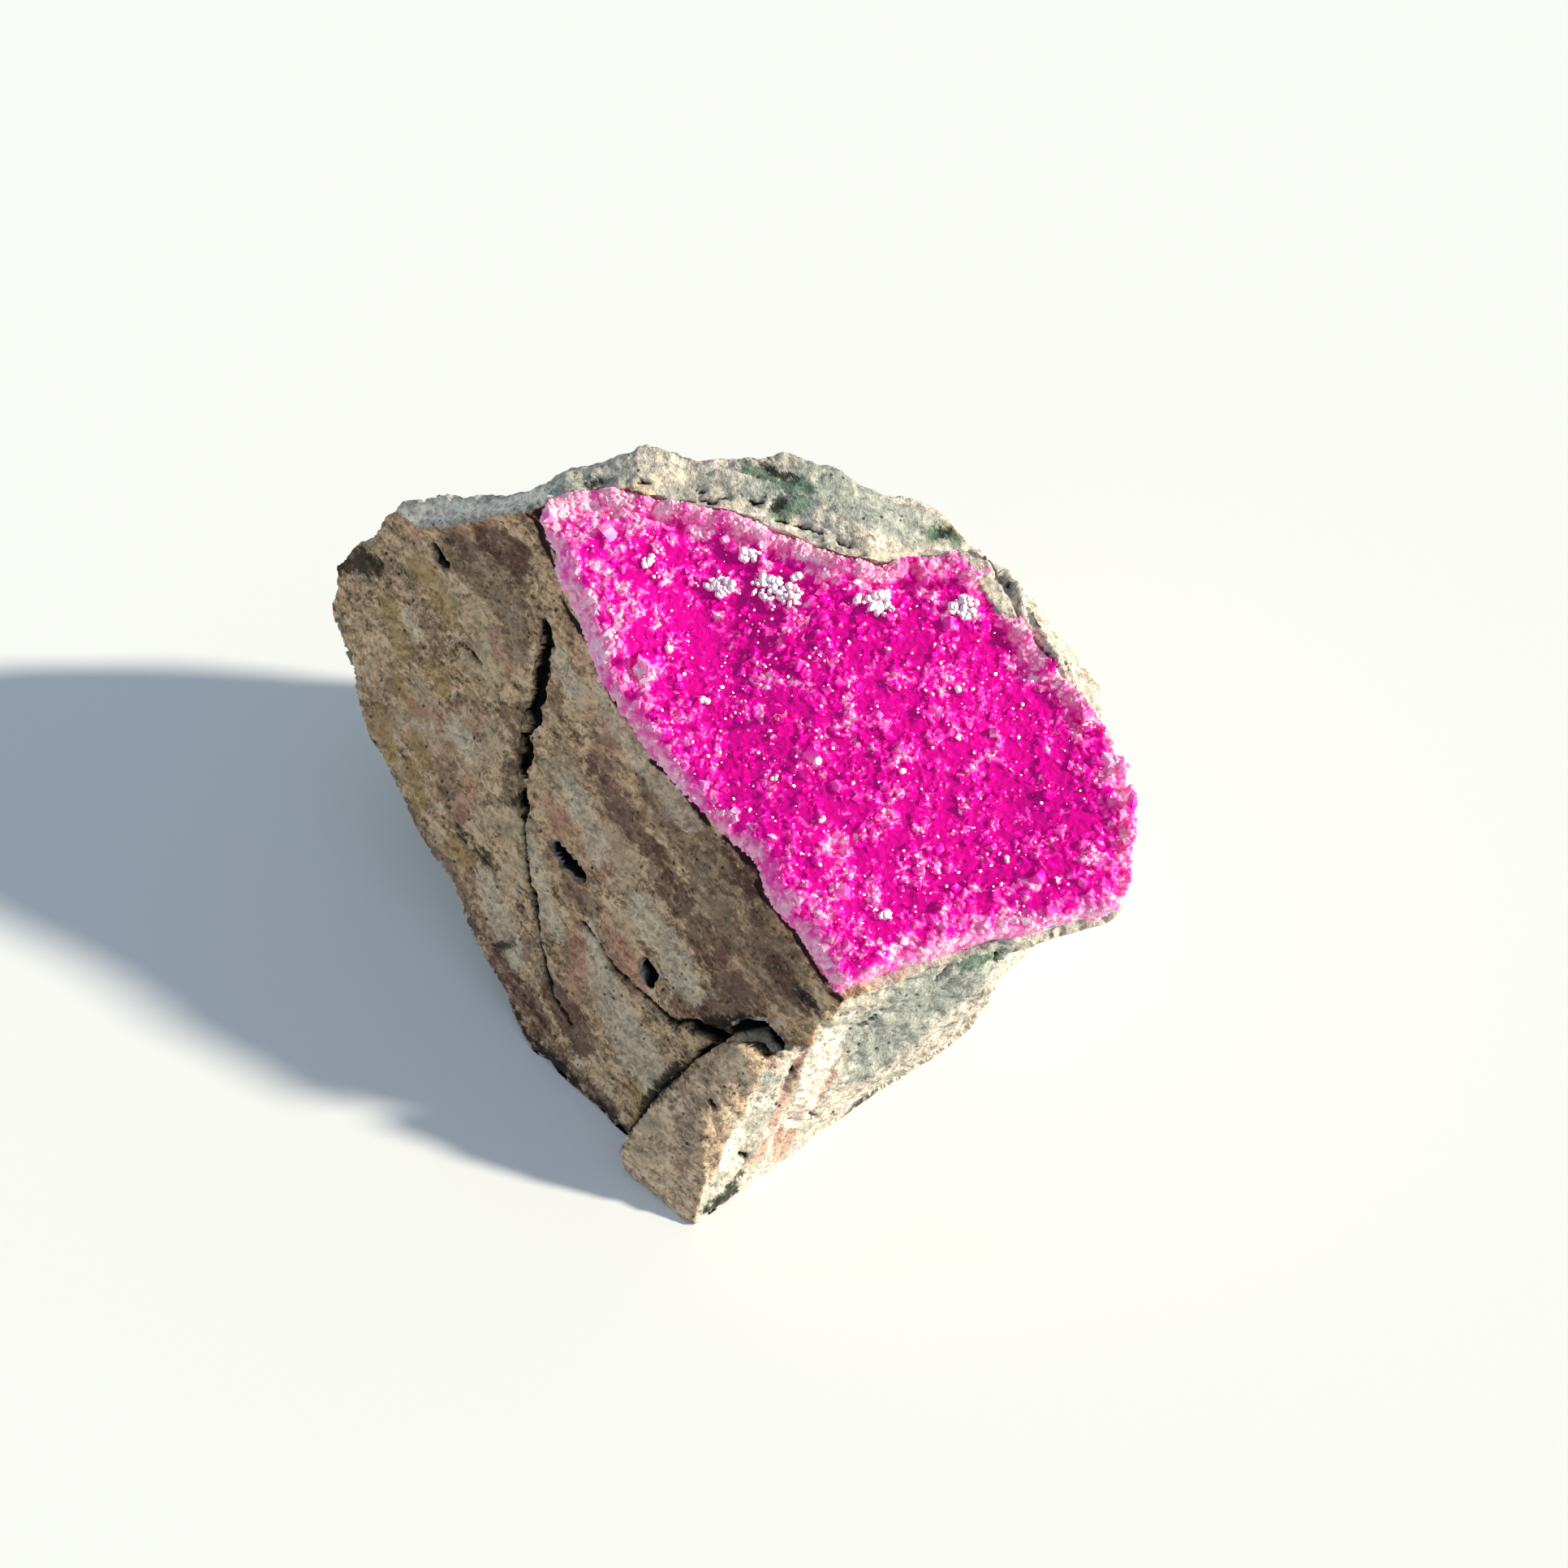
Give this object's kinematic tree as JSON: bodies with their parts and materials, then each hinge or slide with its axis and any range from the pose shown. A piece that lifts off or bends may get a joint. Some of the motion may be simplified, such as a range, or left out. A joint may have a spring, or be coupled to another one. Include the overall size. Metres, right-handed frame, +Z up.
{
  "type": "mineral specimen",
  "caption": "Broken block of host rock with a bed of pink cobaltoan calcite crystals over its sloping upper face, resting on a flat underside.",
  "frame": {"origin": "on the resting plane, under the middle of the specimen's box", "axes": "+Z up, +Y to the back, away from the side that the crystal face slopes down to, +X to the right as seen from the front"},
  "size_m": [0.0512, 0.0444, 0.0299],
  "materials": {
    "host_rock": "rough broken dolomitic rock, grey-brown and cream, mottled, with dark specks and green and red-brown stains",
    "calcite_crust": "glassy translucent crystals, deep magenta in the hollows and pale pink to white along the broken edges"
  },
  "bodies": {
    "root": {"host_rock": "host_rock", "calcite_crust": "calcite_crust"}
  },
  "joints": []
}
